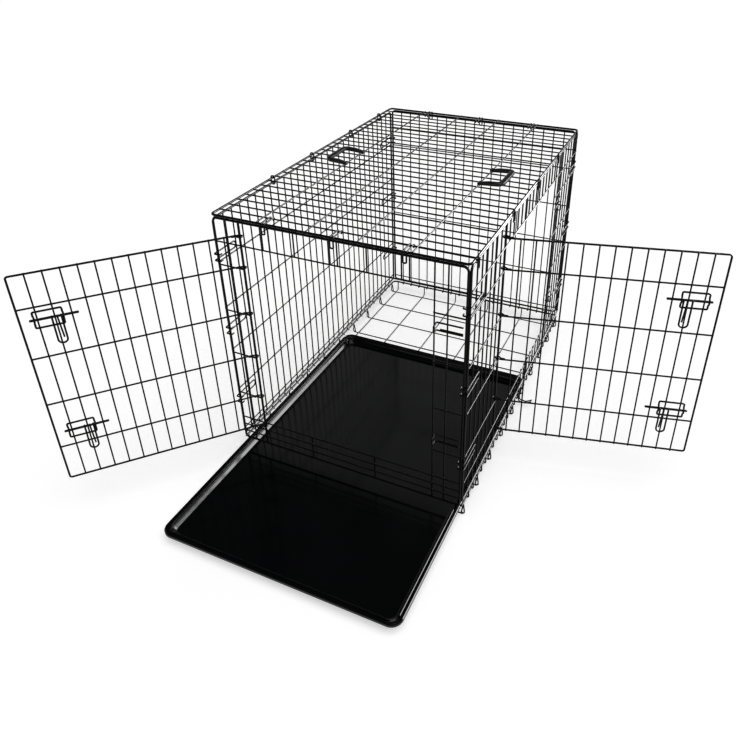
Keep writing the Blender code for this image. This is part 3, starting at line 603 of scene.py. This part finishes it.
def front_panel():
    """The end panel with the doorway: its frame, a grille on each side, a header and a sill."""
    near, far = FRONT_FRAME_INSET, CRATE_WIDTH - FRONT_FRAME_INSET
    low, high = FRONT_RAIL_HEIGHT, RAIL_TOP
    place = standing(LEFT, FRONT, 0, 0.0)
    levels = list(SILL_ROWS) + ROWS + [HEADER_ROW]
    wire_piece("front_frame", [frame_ring(near, low, far, high)], place)
    lines = uprights([FRONT_HINGE], low, high, radius=FRAME_R) + uprights([FRONT_LEFT_UPRIGHT], low, high)
    lines += rows(levels, near, FRONT_HINGE, LAP)
    wire_piece("front_left_grille", lines, place,
               crossings([near, FRONT_LEFT_UPRIGHT, FRONT_HINGE], levels, LAP / 2))
    xs = [FRONT_EDGE, FRONT_RIGHT_UPRIGHT]
    lines = uprights(xs, low, high) + rows(levels, FRONT_EDGE - OVERRUN, far, LAP)
    wire_piece("front_right_grille", lines, place, crossings(xs + [far], levels, LAP / 2))
    lines = uprights(HEADER_UPRIGHTS, HEADER_ROW - OVERRUN, high)
    lines += rows([HEADER_ROW], FRONT_HINGE, FRONT_EDGE, LAP)
    wire_piece("front_header", lines, place, crossings(HEADER_UPRIGHTS, [HEADER_ROW], LAP / 2))
    lines = uprights(SILL_UPRIGHTS, low, SILL_ROWS[-1] + OVERRUN)
    lines += rows(SILL_ROWS, FRONT_HINGE, FRONT_EDGE, LAP)
    wire_piece("front_sill", lines, place, crossings(SILL_UPRIGHTS, SILL_ROWS, LAP / 2))


def back_panel():
    xs = spaced(END_INSET, CRATE_WIDTH - END_INSET, BACK_UPRIGHTS)
    near, far = BACK_FRAME_INSET, CRATE_WIDTH - BACK_FRAME_INSET
    levels = [LOW_ROW] + ROWS + [HEADER_ROW]
    long_wires = [FLOOR_EDGE] + spaced(0, CRATE_WIDTH, TOP_LONG_WIRES) + [CRATE_WIDTH - FLOOR_EDGE]
    clear = [x for x in xs if min(abs(x - long) for long in long_wires) > CURL_CLEARANCE]
    lines = [frame_ring(near, SIDE_RAIL_HEIGHT, far, RAIL_TOP)]
    lines += uprights(xs, SIDE_RAIL_HEIGHT, RAIL_TOP) + rows(levels, near, far, LAP)
    lines += rim_curls(clear, SIDE_RAIL_HEIGHT, BACK_CURL_TURN)
    nuggets = crossings([near] + xs + [far], levels, LAP / 2)
    wire_piece("back_panel", lines, standing(RIGHT, BACK, 0, math.pi), nuggets)


# ---- top ----

def link_loop(x, y, low, high):
    """A flat closed loop of clip wire, standing along the right side."""
    near, far = y - HOOK_HALF_WIDTH, y + HOOK_HALF_WIDTH
    corners = [(x, near, low), (x, far, low), (x, far, high), (x, near, high)]
    return strand(fillet(corners, HOOK_HALF_WIDTH * LOOP_ROUNDING, closed=True), CLIP_R, closed=True)


def snap_hook(x, edge, inward, low):
    """A doubled wire that turns on the first cross wire and snaps down over the end panel's rail."""
    on_top = TOP_DROP + WIRE_R + CLIP_R - WELD
    turn = WIRE_R + CLIP_R - WELD
    pivot = edge + inward * TOP_PITCH
    curl = [(pivot + inward * turn * math.sin(a), TOP_DROP + turn * math.cos(a))
            for a in (math.radians(degrees) for degrees in SNAP_CURL_DEGREES)]
    leg = curl + [(edge - inward * BESIDE_FRAME, on_top), (edge - inward * BESIDE_FRAME, low)]
    half = HOOK_HALF_WIDTH
    one = [(x - half, y, z) for y, z in leg]
    two = [(x + half, y, z) for y, z in reversed(leg)]
    bends = fillet(one[-3:], SNAP_BEND, TINY_STEPS)[1:-1]
    other = fillet(two[:3], SNAP_BEND, TINY_STEPS)[1:-1]
    bottom = fillet(one[-2:] + two[:2], half * LOOP_ROUNDING, SMALL_STEPS)[1:-1]
    return strand(one[:-2] + bends + bottom + other + two[2:], CLIP_R)


def top_panel():
    """The panel that lifts, with its hooks and its hinge loops."""
    place = Matrix.Translation((LEFT, FRONT, RAIL_TOP))
    cross = spaced(0, CRATE_DEPTH, TOP_CROSS_WIRES)
    lengthwise = spaced(0, CRATE_WIDTH, TOP_LONG_WIRES)
    lines = [frame_ring(0, 0, CRATE_WIDTH, CRATE_DEPTH, TOP_DROP)]
    lines += rows(cross, 0, CRATE_WIDTH, TOP_DROP)
    lines += uprights(lengthwise, 0, CRATE_DEPTH, TOP_DROP + LAP)
    wire_piece("top_panel", lines, place,
               crossings(lengthwise, [0] + cross + [CRATE_DEPTH], TOP_DROP + LAP / 2))
    low, high = TOP_DROP - HOOK_DROP, TOP_DROP + HOOK_RISE
    for i, x in enumerate(END_HOOKS):
        for end, y, inward in (("front", 0.0, 1), ("back", CRATE_DEPTH, -1)):
            wire_piece(f"top_{end}_hook_{i + 1}", [snap_hook(x, y, inward, low)], place)
    for i, y in enumerate(RIGHT_HOOKS):
        loop = link_loop(CRATE_WIDTH + BESIDE_FRAME, y, low, high)
        wire_piece(f"top_right_hook_{i + 1}", [loop], place)
    radius = FRAME_R + PLAY + CLIP_R
    for i, gap in enumerate(HINGE_LOOP_GAPS):
        y = SIDE_INSET + SIDE_PITCH * gap
        ring = arc(0, HINGE_RAIL - RAIL_TOP, radius, math.pi, math.pi)
        ring += arc(0, TOP_DROP, radius, 0, math.pi)
        loop = strand([(x, y, z) for x, z in ring], CLIP_R, closed=True)
        wire_piece(f"top_hinge_loop_{i + 1}", [loop], place)


# ---- doors ----

def door_eye(level, tail_first=True):
    """The end of a bar, wound round the hinge wire with its tail closed back against the bar."""
    radius = FRAME_R + PLAY + BAR_R
    curl = [(x, DOOR_OUT - radii * BAR_R) for x, radii in EYE_TAIL]
    curl += arc(0, 0, radius, EYE_START, EYE_TURN) + [(EYE_NECK, DOOR_OUT)]
    path = [(x, level, z) for x, z in curl]
    return path if tail_first else path[::-1]


def door_strands():
    border = fillet([(0, DOOR_TOP, DOOR_OUT), (DOOR_WIDTH, DOOR_TOP, DOOR_OUT),
                     (DOOR_WIDTH, DOOR_BOTTOM, DOOR_OUT), (0, DOOR_BOTTOM, DOOR_OUT)], DOOR_BEND)
    border = door_eye(DOOR_TOP) + border[1:-1] + door_eye(DOOR_BOTTOM, tail_first=False)
    lines = [strand(border, DOOR_FRAME_R)]
    lines += [strand(door_eye(level) + [(DOOR_WIDTH, level, DOOR_OUT)], BAR_R) for level in DOOR_ROWS]
    xs = spaced(0, DOOR_WIDTH, DOOR_UPRIGHTS)
    return lines + uprights(xs, DOOR_BOTTOM - OVERRUN, DOOR_TOP + OVERRUN, UPRIGHT_OUT)


def guide_strand():
    """A closed ring of wire, flat on the door, whose two ends bulge out round the bolt."""
    end = GUIDE_START + GUIDE_LENGTH
    flat, bulge = GUIDE_HALF_HEIGHT, BULGE_HALF + BULGE_RUN
    flat_out, bulge_out = GUIDE_OUT + GUIDE_R - CLIP_R, BULGE_OUT + GUIDE_R - CLIP_R
    side = [(-flat, flat_out), (-bulge, flat_out), (-BULGE_HALF, bulge_out),
            (BULGE_HALF, bulge_out), (bulge, flat_out), (flat, flat_out)]
    ring = [(end, y, z) for y, z in side] + [(GUIDE_START, y, z) for y, z in reversed(side)]
    return strand(fillet(ring, GUIDE_BEND, SMALL_STEPS, closed=True), GUIDE_R, closed=True)


def bolt_strand():
    """A straight rod along x with rounded ends."""
    shape = [*BOLT_END] + [(BOLT_LENGTH - x, scale) for x, scale in reversed(BOLT_END)]
    return strand([(x, 0, 0) for x, _ in shape], BOLT_R, swell=[scale for _, scale in shape])


def bolt_handle_strands():
    """A U of wire that hangs from the bolt, with its spare end bent back between the legs."""
    out = BULGE_OUT - BOLT_OUT + HANDLE_R - CLIP_R
    low = out - HANDLE_LEAN
    path = fillet([(0, 0, out), (0, -HANDLE_DROP, low), (HANDLE_WIDTH, -HANDLE_DROP, low),
                   (HANDLE_WIDTH, 0, out)], HANDLE_WIDTH / 2 * HAIRPIN_ROUNDING, HANDLE_STEPS)
    upper, lower = (HANDLE_WIDTH * share for share in SPARE_ACROSS)
    spare = fillet([(upper, 0, out * SPARE_SUNK), (upper, -SPARE_NECK, out),
                    (lower, -HANDLE_DROP * SPARE_LENGTH, low)], SPARE_BEND, TINY_STEPS)
    return [strand(path, HANDLE_R), strand(spare, HANDLE_R * SPARE_THINNER)]


def keeper_strands():
    """A hairpin with its closed end standing over the bolt, and its spare end beside the lower leg."""
    leg = [(KEEPER_LENGTH, KEEPER_HALF_HEIGHT, KEEPER_OUT), (0, KEEPER_HALF_HEIGHT, KEEPER_OUT),
           (0, KEEPER_HALF_HEIGHT - CLIP_R, KEEPER_BULGE_OUT)]
    path = leg + [(x, -y, z) for x, y, z in reversed(leg)]
    spare = -KEEPER_HALF_HEIGHT + 2 * CLIP_R
    return [strand(fillet(path, CLIP_R * KEEPER_ROUNDING, SMALL_STEPS), CLIP_R),
            strand([(KEEPER_SPARE_START, spare, KEEPER_OUT), (KEEPER_LENGTH, spare, KEEPER_OUT)],
                   CLIP_R * SPARE_THINNER)]


def add_door(prefix, place):
    """One door with its two slide bolts."""
    xs = spaced(0, DOOR_WIDTH, DOOR_UPRIGHTS)
    levels = [DOOR_BOTTOM] + DOOR_ROWS + [DOOR_TOP]
    depth = (DOOR_OUT + UPRIGHT_OUT) / 2
    nuggets = crossings(xs, levels, depth) + [(DOOR_WIDTH, level, DOOR_OUT) for level in DOOR_ROWS]
    wire_piece(f"{prefix}_door", door_strands(), place, nuggets)
    for name, level in BOLT_LEVELS.items():
        wire_piece(f"{prefix}_{name}_guide", [guide_strand()], place @ Matrix.Translation((0, level, 0)))
        rod = place @ Matrix.Translation((BOLT_START, level, BOLT_OUT))
        wire_piece(f"{prefix}_{name}_bolt", [bolt_strand()], rod)
        start = rod @ Matrix.Translation((HANDLE_START - BOLT_START, 0, 0))
        depth_of_weld = (BULGE_OUT - BOLT_OUT) * HANDLE_WELD
        welds = [(0, 0, depth_of_weld), (HANDLE_WIDTH, 0, depth_of_weld)]
        wire_piece(f"{prefix}_{name}_bolt_handle", bolt_handle_strands(), start, welds)


def doors_and_keepers():
    add_door("front", standing(LEFT + FRONT_HINGE, FRONT, 0, -FRONT_DOOR_OPEN))
    add_door("side", standing(RIGHT, FRONT + SIDE_HINGE, 0, math.pi / 2 - SIDE_DOOR_OPEN))
    for name, level in BOLT_LEVELS.items():
        wire_piece(f"front_{name}_keeper", keeper_strands(),
                   standing(LEFT + FRONT_EDGE + KEEPER_SETBACK, FRONT, level, 0.0))
        wire_piece(f"side_{name}_keeper", keeper_strands(),
                   standing(RIGHT, FRONT + SIDE_EDGE + KEEPER_SETBACK, level, math.pi / 2))


# ---- floor, tray, handles and hook ----

def teardrop(x, y, outward):
    """The hairpin in which a floor wire ends under the rim, wide at the ground and narrow at the top."""
    wide, bottom = TEAR_HALF_WIDTH, WIRE_R + TEAR_GAP
    drop = [(0.0, RIM_HEIGHT), (wide, bottom + TEAR_SHOULDER)]
    drop += arc(0.0, bottom + wide + TEAR_BOWL_RISE, wide, 0, -math.pi)
    drop += [(0.0, RIM_HEIGHT - TEAR_SHOULDER)]
    return strand([(x + outward * a, y, b) for a, b in drop])


def floor_basket():
    """The floor's wires and the rim that the panels stand on, with no vertex under the ground."""
    lines = []
    ys = [FRONT + FLOOR_END + FLOOR_PITCH * i for i in range(FLOOR_CROSS_WIRES)]
    for y in ys:
        lines.append(strand([(LEFT, y, FLOOR_CROSS_HEIGHT), (RIGHT, y, FLOOR_CROSS_HEIGHT)]))
        lines += [teardrop(LEFT, y, -1), teardrop(RIGHT, y, 1)]
    xs = [FLOOR_EDGE] + spaced(0, CRATE_WIDTH, TOP_LONG_WIRES) + [CRATE_WIDTH - FLOOR_EDGE]
    start = FRONT + FLOOR_END - OVERRUN - WIRE_R
    for x in xs:
        path = [(LEFT + x, start, FLOOR_LONG_HEIGHT), (LEFT + x, BACK, FLOOR_LONG_HEIGHT),
                (LEFT + x, BACK, RIM_HEIGHT)]
        lines.append(strand(fillet(path, FLOOR_BEND)))
    rim = fillet([(LEFT, FRONT + RIM_START, RIM_HEIGHT), (LEFT, BACK, RIM_HEIGHT),
                  (RIGHT, BACK, RIM_HEIGHT), (RIGHT, FRONT + RIM_START, RIM_HEIGHT)], RIM_BEND)
    lines.append(strand(rim, FRAME_R))
    depth = (FLOOR_CROSS_HEIGHT + FLOOR_LONG_HEIGHT) / 2
    nuggets = [(LEFT + x, y, depth) for x in xs for y in ys]
    basket = wire_piece("floor_basket", lines, Matrix.Identity(4), nuggets)
    for vertex in basket.data.vertices:
        vertex.co.z = max(vertex.co.z, 0.0)


def tray_outline(inset, height):
    half_x, half_y = TRAY_WIDTH / 2 - inset, TRAY_LENGTH / 2 - inset
    corners = box_corners(-half_x, -half_y, half_x, half_y, height)
    return fillet(corners, TRAY_CORNER - inset * TRAY_CORNER_TAPER, TRAY_CORNER_STEPS, closed=True)


def tray_profile():
    """Inset and height from the floor's upper face, over the rounded rim, to its under face."""
    lip = TRAY_LIP_WIDTH
    groove = lip + TRAY_GROOVE
    ridge = groove + TRAY_RIDGE
    slant = ridge + TRAY_STEEP_IN
    foot = slant + TRAY_SLANT[0]
    middle = foot + TRAY_FLOOR_SPAN
    top, dip, sheet = TRAY_HEIGHT, TRAY_HEIGHT - TRAY_GROOVE_DEPTH, TRAY_SHEET
    floor = sheet + TRAY_FLOOR_RISE
    under = dip - sheet
    corners = [((middle, floor), 0), ((foot, floor), TRAY_COVE),
               ((slant, floor + TRAY_SLANT[1]), TRAY_SLANT_BEND), ((ridge, top), TRAY_RIDGE_BEND),
               ((groove + TRAY_GROOVE_SLOPE, top), TRAY_GROOVE_BEND),
               ((groove, dip), TRAY_CREASE_BEND), ((lip, dip), TRAY_CREASE_BEND),
               ((lip - TRAY_LIP_SLOPE, top), TRAY_LIP_BENDS[0]),
               ((TRAY_LIP_ROUND[0], top), TRAY_LIP_BENDS[0]),
               ((0, top - TRAY_LIP_ROUND[1]), TRAY_LIP_BENDS[1]), ((0, TRAY_LIP), TRAY_SHEET_BEND),
               ((sheet, TRAY_LIP), TRAY_SHEET_BEND), ((sheet, under), TRAY_SHEET_BEND),
               ((ridge + sheet / 2, under), TRAY_UNDER_BEND), ((foot - sheet / 2, 0), TRAY_SLANT_BEND),
               ((middle, 0), 0)]
    out = []
    for i, (corner, bend) in enumerate(corners):
        if not bend:
            out.append(corner)
            continue
        near = [(*corners[j][0], 0.0) for j in (i - 1, i, i + 1)]
        steps = COVE_STEPS if bend == TRAY_COVE else SMALL_STEPS
        out += [(p.x, p.y) for p in fillet(near, bend, steps)[1:-1]]
    return out


def loft(name, rings):
    """A closed mesh through the rings, with a flat face over each end."""
    soup = bmesh.new()
    loops = [[soup.verts.new(place) for place in ring] for ring in rings]
    for inner, outer in zip(loops, loops[1:]):
        for i in range(len(inner)):
            j = (i + 1) % len(inner)
            soup.faces.new((inner[i], inner[j], outer[j], outer[i]))
    soup.faces.new(loops[0])
    soup.faces.new(loops[-1])
    bmesh.ops.recalc_face_normals(soup, faces=soup.faces)
    mesh = bpy.data.meshes.new(name)
    soup.to_mesh(mesh)
    soup.free()
    return mesh


def tray():
    place = Matrix.Translation((0, FRONT - TRAY_OUT + TRAY_LENGTH / 2, TRAY_BOTTOM))
    rings = [[place @ p for p in tray_outline(inset, height)] for inset, height in tray_profile()]
    moulding = finished("tray_moulding", loft("tray_moulding", rings), TRAY_SHARP_ANGLE)
    dress(moulding, "tray", TRAY_PLASTIC, "tray_plastic")


def section(centre, ahead, half_width, half_height):
    """A ring of points round the path: a rectangle with generously rounded corners."""
    across = ahead.cross(Vector((0, 0, 1))).normalized()
    up = across.cross(ahead).normalized()
    ring = []
    for i in range(GRIP_SIDES):
        a = 2 * math.pi * i / GRIP_SIDES
        c, s = math.cos(a), math.sin(a)
        x = math.copysign(abs(c) ** GRIP_SQUARENESS, c) * half_width
        y = math.copysign(abs(s) ** GRIP_SQUARENESS, s) * half_height
        ring.append(centre + across * x + up * y)
    return ring


def carry_handle(name, x, turn):
    """A moulded U whose grip is a rounded bar and whose feet are bosses on the top's long wire."""
    half = (GRIP_GAPS[1] - GRIP_GAPS[0]) / 2 * TOP_PITCH
    shoulder, lift = GRIP_REACH * GRIP_SHOULDER[0], GRIP_LIFT * GRIP_SHOULDER[1]
    leg = [(GRIP_ROOT, half, 0), (shoulder, half, lift), (GRIP_REACH, half, GRIP_LIFT)]
    corners = [(a, -b, c) for a, b, c in leg] + leg[::-1]
    path = [Vector(corners[0])] + fillet(corners[1:-1], GRIP_BEND, GRIP_STEPS) + [Vector(corners[-1])]
    height = RAIL_TOP + TOP_DROP + 2 * WIRE_R + FIT
    place = Matrix.Translation((LEFT + x, FRONT + sum(GRIP_GAPS) / 2 * TOP_PITCH, height))
    place = place @ Matrix.Rotation(turn, 4, "Z")
    rings = []
    for i, point in enumerate(path):
        ahead = (path[min(i + 1, len(path) - 1)] - path[max(i - 1, 0)]).normalized()
        full = min(1.0, point.x / shoulder)
        half_width = GRIP_HALF_WIDTH * (GRIP_FOOT_WIDTH + (1 - GRIP_FOOT_WIDTH) * full)
        half_height = GRIP_HALF_HEIGHT * (GRIP_FOOT_HEIGHT + (1 - GRIP_FOOT_HEIGHT) * full)
        rings.append([place @ p for p in section(point, ahead, half_width, half_height)])
    mesh = loft(name, rings)
    soup = bmesh.new()
    soup.from_mesh(mesh)
    for y in (-half, half):
        spot = place @ Matrix.Translation((0, y, 0)) @ Matrix.Rotation(math.pi / 2, 4, "X")
        for length, radius in ((FOOT_LENGTH, FOOT_R * FOOT_NECK), (FOOT_LENGTH - FOOT_STEP, FOOT_R)):
            bmesh.ops.create_cone(soup, cap_ends=True, segments=FOOT_SIDES, radius1=radius, radius2=radius,
                                  depth=length, matrix=spot)
    soup.to_mesh(mesh)
    soup.free()
    dress(finished(name + "_moulding", mesh, GRIP_SHARP_ANGLE), name, HANDLE_PLASTIC, "handle_plastic")


def fold_hook():
    """A doubled wire that hangs from the right panel's bottom rail and bends out to its closed end."""
    radius = FRAME_R + PLAY + CLIP_R
    eye = arc(0, 0, radius, FOLD_EYE_START, FOLD_EYE_TURN)
    reach, drop = FOLD_HOOK_REACH, FOLD_HOOK_DROP
    bend = [(radius, 0, 0), (radius, -drop + FOLD_RISE, 0), (reach * FOLD_TIP[0], -drop, 0),
            (reach, -drop * FOLD_TIP[1], 0)]
    leg = eye[:-1] + [(p.x, p.y) for p in fillet(bend, FOLD_BEND, FOLD_STEPS)]
    one = [(-FOLD_HOOK_HALF, y, z) for z, y in leg]
    two = [(FOLD_HOOK_HALF, y, z) for z, y in reversed(leg)]
    place = standing(RIGHT, FRONT + SIDE_INSET + SIDE_PITCH * FOLD_HOOK_GAP, SIDE_RAIL_HEIGHT, math.pi / 2)
    wire_piece("fold_hook", [strand(one + two, CLIP_R)], place)


# ---- studio ----

def studio():
    """A white floor, a soft sun, and a softbox for each finish that lights nothing else."""
    mesh = bpy.data.meshes.new("floor")
    mesh.from_pydata(box_corners(-FLOOR_REACH, -FLOOR_REACH, FLOOR_REACH, FLOOR_REACH), [], [(0, 1, 2, 3)])
    floor = bpy.data.objects.new("floor", mesh)
    floor.location.z = -FLOOR_SUNK
    bpy.context.scene.collection.objects.link(floor)
    mesh.materials.append(floor_paint())
    bpy.context.scene.world = studio_world()
    soft_sun("overhead", SUN_TOWARDS, SUN_ANGLE, SUN_STRENGTH)
    softbox("wire_light", HIGH_LIGHT, LIGHT_TARGET, (2.4, 2.0), 650.0, LIT["black_wire"])
    softbox("handle_light", HIGH_LIGHT, LIGHT_TARGET, (2.4, 2.0), 110.0, LIT["handle_plastic"])
    softbox("tray_light", LOW_LIGHT, LIGHT_TARGET, (2.8, 0.9), 130.0, LIT["tray_plastic"])
    softbox("tray_ceiling", CEILING_LIGHT, CEILING_TARGET, (1.7, 1.5), 5.0, LIT["tray_plastic"])


def studio_world():
    """A dark room with a pale band round the horizon, which draws light lines along the mouldings."""
    world = bpy.data.worlds.new("studio")
    world.use_nodes = True
    nodes, links = world.node_tree.nodes, world.node_tree.links
    coords = nodes.new("ShaderNodeTexCoord")
    split = nodes.new("ShaderNodeSeparateXYZ")
    links.new(coords.outputs["Generated"], split.inputs["Vector"])
    band = nodes.new("ShaderNodeValToRGB")
    links.new(split.outputs["Z"], band.inputs["Fac"])
    stops = band.color_ramp.elements
    for stop, (height, _) in zip(stops, (SKY_LEVELS[0], SKY_LEVELS[-1])):
        stop.position = height
    for height, _ in SKY_LEVELS[1:-1]:
        stops.new(height)
    for stop, (_, level) in zip(stops, SKY_LEVELS):
        stop.color = (level, level, level, 1.0)
    links.new(band.outputs["Color"], nodes["Background"].inputs["Color"])
    nodes["Background"].inputs["Strength"].default_value = SKY_STRENGTH
    return world


def soft_sun(name, towards, angle, strength):
    light = bpy.data.lights.new(name, "SUN")
    light.angle = angle
    light.energy = strength
    lamp = bpy.data.objects.new(name, light)
    lamp.rotation_euler = Vector(towards).to_track_quat("Z", "Y").to_euler()
    bpy.context.scene.collection.objects.link(lamp)


def softbox(name, place, target, size, power, receivers):
    """A rectangular light that faces its target, lights only its receivers and stays out of the picture."""
    light = bpy.data.lights.new(name, "AREA")
    light.shape = "RECTANGLE"
    light.size, light.size_y = size
    light.energy = power
    lamp = bpy.data.objects.new(name, light)
    lamp.location = place
    lamp.rotation_euler = (Vector(target) - Vector(place)).to_track_quat("-Z", "Y").to_euler()
    lamp.visible_camera = False
    lamp.light_linking.receiver_collection = receivers
    bpy.context.scene.collection.objects.link(lamp)


def camera():
    ahead = Vector((math.sin(AZIMUTH) * math.cos(ELEVATION), math.cos(AZIMUTH) * math.cos(ELEVATION),
                    -math.sin(ELEVATION)))
    level = Vector((math.cos(AZIMUTH), -math.sin(AZIMUTH), 0.0))
    down = ahead.cross(level)
    right = math.cos(ROLL) * level + math.sin(ROLL) * down
    down = -math.sin(ROLL) * level + math.cos(ROLL) * down
    turn = Matrix((right, -down, -ahead)).transposed()
    lens = bpy.data.cameras.new("camera")
    lens.sensor_width = 36.0
    lens.lens = lens.sensor_width * FOCAL / IMAGE
    lens.shift_x = (IMAGE / 2 - PRINCIPAL[0]) / IMAGE
    lens.shift_y = (PRINCIPAL[1] - IMAGE / 2) / IMAGE
    lens.clip_end = 100.0
    viewer = bpy.data.objects.new("camera", lens)
    viewer.matrix_world = Matrix.Translation(CAMERA_AT) @ turn.to_4x4()
    bpy.context.scene.collection.objects.link(viewer)
    bpy.context.scene.camera = viewer


POWDER_COAT = powder_coat()
TRAY_PLASTIC = tray_plastic()
HANDLE_PLASTIC = handle_plastic()
camera()
studio()
left_side_panel()
right_side_panel()
front_panel()
back_panel()
top_panel()
doors_and_keepers()
floor_basket()
tray()
long_wires = spaced(0, CRATE_WIDTH, TOP_LONG_WIRES)
carry_handle("left_carry_handle", long_wires[0], math.pi)
carry_handle("right_carry_handle", long_wires[-1], 0.0)
fold_hook()
bpy.context.scene.view_settings.view_transform = "Standard"
bpy.context.scene.view_settings.gamma = DISPLAY_GAMMA
